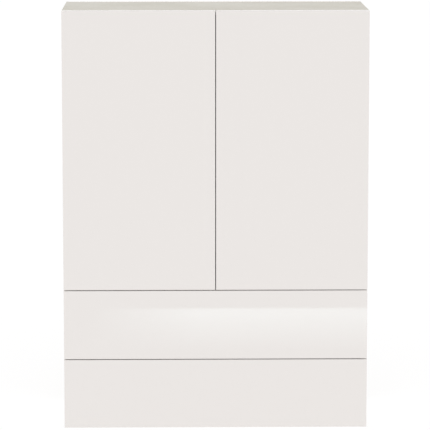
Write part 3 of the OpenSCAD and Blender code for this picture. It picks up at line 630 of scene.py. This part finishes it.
floor_mesh = bpy.data.meshes.new("studio_floor")
floor_plane = bmesh.new()
bmesh.ops.create_grid(floor_plane, x_segments=1, y_segments=1, size=FLOOR_REACH)
floor_plane.to_mesh(floor_mesh)
floor_plane.free()
studio_floor = bpy.data.objects.new("studio_floor", floor_mesh)
bpy.context.scene.collection.objects.link(studio_floor)

floor_paint, _, _, floor_shader = new_finish("floor_paint")
floor_shader.inputs["Base Color"].default_value = (0.30, 0.30, 0.30, 1.0)
floor_shader.inputs["Roughness"].default_value = 0.9
floor_shader.inputs["Specular IOR Level"].default_value = 0.0
floor_shader.inputs["Emission Color"].default_value = (1.0, 1.0, 1.0, 1.0)
floor_shader.inputs["Emission Strength"].default_value = FLOOR_GLOW
floor_mesh.materials.append(floor_paint)

surround = bpy.data.worlds.new("studio_surround")
bpy.context.scene.world = surround
surround.use_nodes = True
sky_nodes, sky_links = surround.node_tree.nodes, surround.node_tree.links
sky_place = sky_nodes.new("ShaderNodeTexCoord")
sky_axes = sky_nodes.new("ShaderNodeSeparateXYZ")
sky_links.new(sky_place.outputs["Generated"], sky_axes.inputs["Vector"])
sky_fall = sky_nodes.new("ShaderNodeMapRange")
sky_fall.inputs["From Min"].default_value, sky_fall.inputs["From Max"].default_value = 0.05, 1.0
sky_fall.inputs["To Min"].default_value = HORIZON_LIGHT
sky_fall.inputs["To Max"].default_value = OVERHEAD_LIGHT
sky_links.new(sky_axes.outputs["Z"], sky_fall.inputs["Value"])
sideways = sky_nodes.new("ShaderNodeMath")
sideways.operation = "MULTIPLY"
sky_links.new(sky_axes.outputs["X"], sideways.inputs[0])
sky_links.new(sky_axes.outputs["X"], sideways.inputs[1])
side_fall = sky_nodes.new("ShaderNodeMath")
side_fall.operation = "MULTIPLY_ADD"
sky_links.new(sideways.outputs["Value"], side_fall.inputs[0])
side_fall.inputs[1].default_value, side_fall.inputs[2].default_value = -SIDE_LOSS, 1.0
sky_light = sky_nodes.new("ShaderNodeMath")
sky_light.operation = "MULTIPLY"
sky_links.new(sky_fall.outputs["Result"], sky_light.inputs[0])
sky_links.new(side_fall.outputs["Value"], sky_light.inputs[1])
sky_links.new(sky_light.outputs["Value"], sky_nodes["Background"].inputs["Strength"])
sky_nodes["Background"].inputs["Color"].default_value = (1.0, 1.0, 1.0, 1.0)


# ---------------------------------------------------------------------------
# Light card: a clear panel that glows, low in front of the cabinet.
# The gloss fronts mirror it as one soft bright band with a crisp upper edge. It shows only in
# reflections and fades out towards the cabinet and towards the left.

CARD_LEFT, CARD_RIGHT = -0.44, 3.0
CARD_FAR, CARD_NEAR = -2.215, -1.40
CARD_LIFT = 0.001           # above the floor
FULL_X, FULL_Y = -0.03, -2.08    # where the fades from the left and the near edge end
CARD_GLOW = 2.3

card_mesh = bpy.data.meshes.new("light_card")
card_sheet = bmesh.new()
card_corners = [card_sheet.verts.new((x, y, CARD_LIFT)) for x, y in
                ((CARD_LEFT, CARD_FAR), (CARD_RIGHT, CARD_FAR),
                 (CARD_RIGHT, CARD_NEAR), (CARD_LEFT, CARD_NEAR))]
card_sheet.faces.new(card_corners)
card_sheet.to_mesh(card_mesh)
card_sheet.free()
light_card = bpy.data.objects.new("light_card", card_mesh)
light_card.visible_camera = light_card.visible_diffuse = light_card.visible_shadow = False
bpy.context.scene.collection.objects.link(light_card)

card_glow = bpy.data.materials.new("light_card_glow")
card_glow.use_nodes = True
card_nodes, card_links = card_glow.node_tree.nodes, card_glow.node_tree.links
card_nodes.clear()
card_place = card_nodes.new("ShaderNodeTexCoord")
card_axes = card_nodes.new("ShaderNodeSeparateXYZ")
card_links.new(card_place.outputs["Object"], card_axes.inputs["Vector"])
fades = []
for axis, dark, bright in (("X", CARD_LEFT, FULL_X), ("Y", CARD_NEAR, FULL_Y)):
    fade = card_nodes.new("ShaderNodeMapRange")
    fade.inputs["From Min"].default_value, fade.inputs["From Max"].default_value = dark, bright
    card_links.new(card_axes.outputs[axis], fade.inputs["Value"])
    fades.append(fade)
brightness = card_nodes.new("ShaderNodeMath")
brightness.operation = "MULTIPLY"
for i, fade in enumerate(fades):
    card_links.new(fade.outputs["Result"], brightness.inputs[i])
strength = card_nodes.new("ShaderNodeMath")
strength.operation = "MULTIPLY"
card_links.new(brightness.outputs["Value"], strength.inputs[0])
strength.inputs[1].default_value = CARD_GLOW
glow = card_nodes.new("ShaderNodeEmission")
glow.inputs["Color"].default_value = (0.80, 0.98, 1.0, 1.0)
card_links.new(strength.outputs["Value"], glow.inputs["Strength"])
clear = card_nodes.new("ShaderNodeBsdfTransparent")
both = card_nodes.new("ShaderNodeAddShader")
card_links.new(glow.outputs["Emission"], both.inputs[0])
card_links.new(clear.outputs["BSDF"], both.inputs[1])
card_out = card_nodes.new("ShaderNodeOutputMaterial")
card_links.new(both.outputs["Shader"], card_out.inputs["Surface"])
card_mesh.materials.append(card_glow)

bpy.context.scene.view_settings.view_transform = "Standard"
bpy.context.scene.view_settings.look = "None"


# ---------------------------------------------------------------------------
# Camera: a long lens, a little to the left of the middle and above the top, looking down
# at the fronts.

SENSOR_WIDTH = 36.0
LENS_TO_SENSOR = 6.2408         # focal length as a multiple of the sensor width
LOOK_DOWN, LOOK_RIGHT = 8.472, 0.903    # degrees

lens = bpy.data.cameras.new("camera")
lens.sensor_width = SENSOR_WIDTH
lens.lens = SENSOR_WIDTH * LENS_TO_SENSOR
camera = bpy.data.objects.new("camera", lens)
camera.location = (-0.128, -8.2, 1.8511)
camera.rotation_euler = (radians(90.0 - LOOK_DOWN), 0.0, radians(-LOOK_RIGHT))
lens.clip_end = 200.0
bpy.context.scene.collection.objects.link(camera)
bpy.context.scene.camera = camera
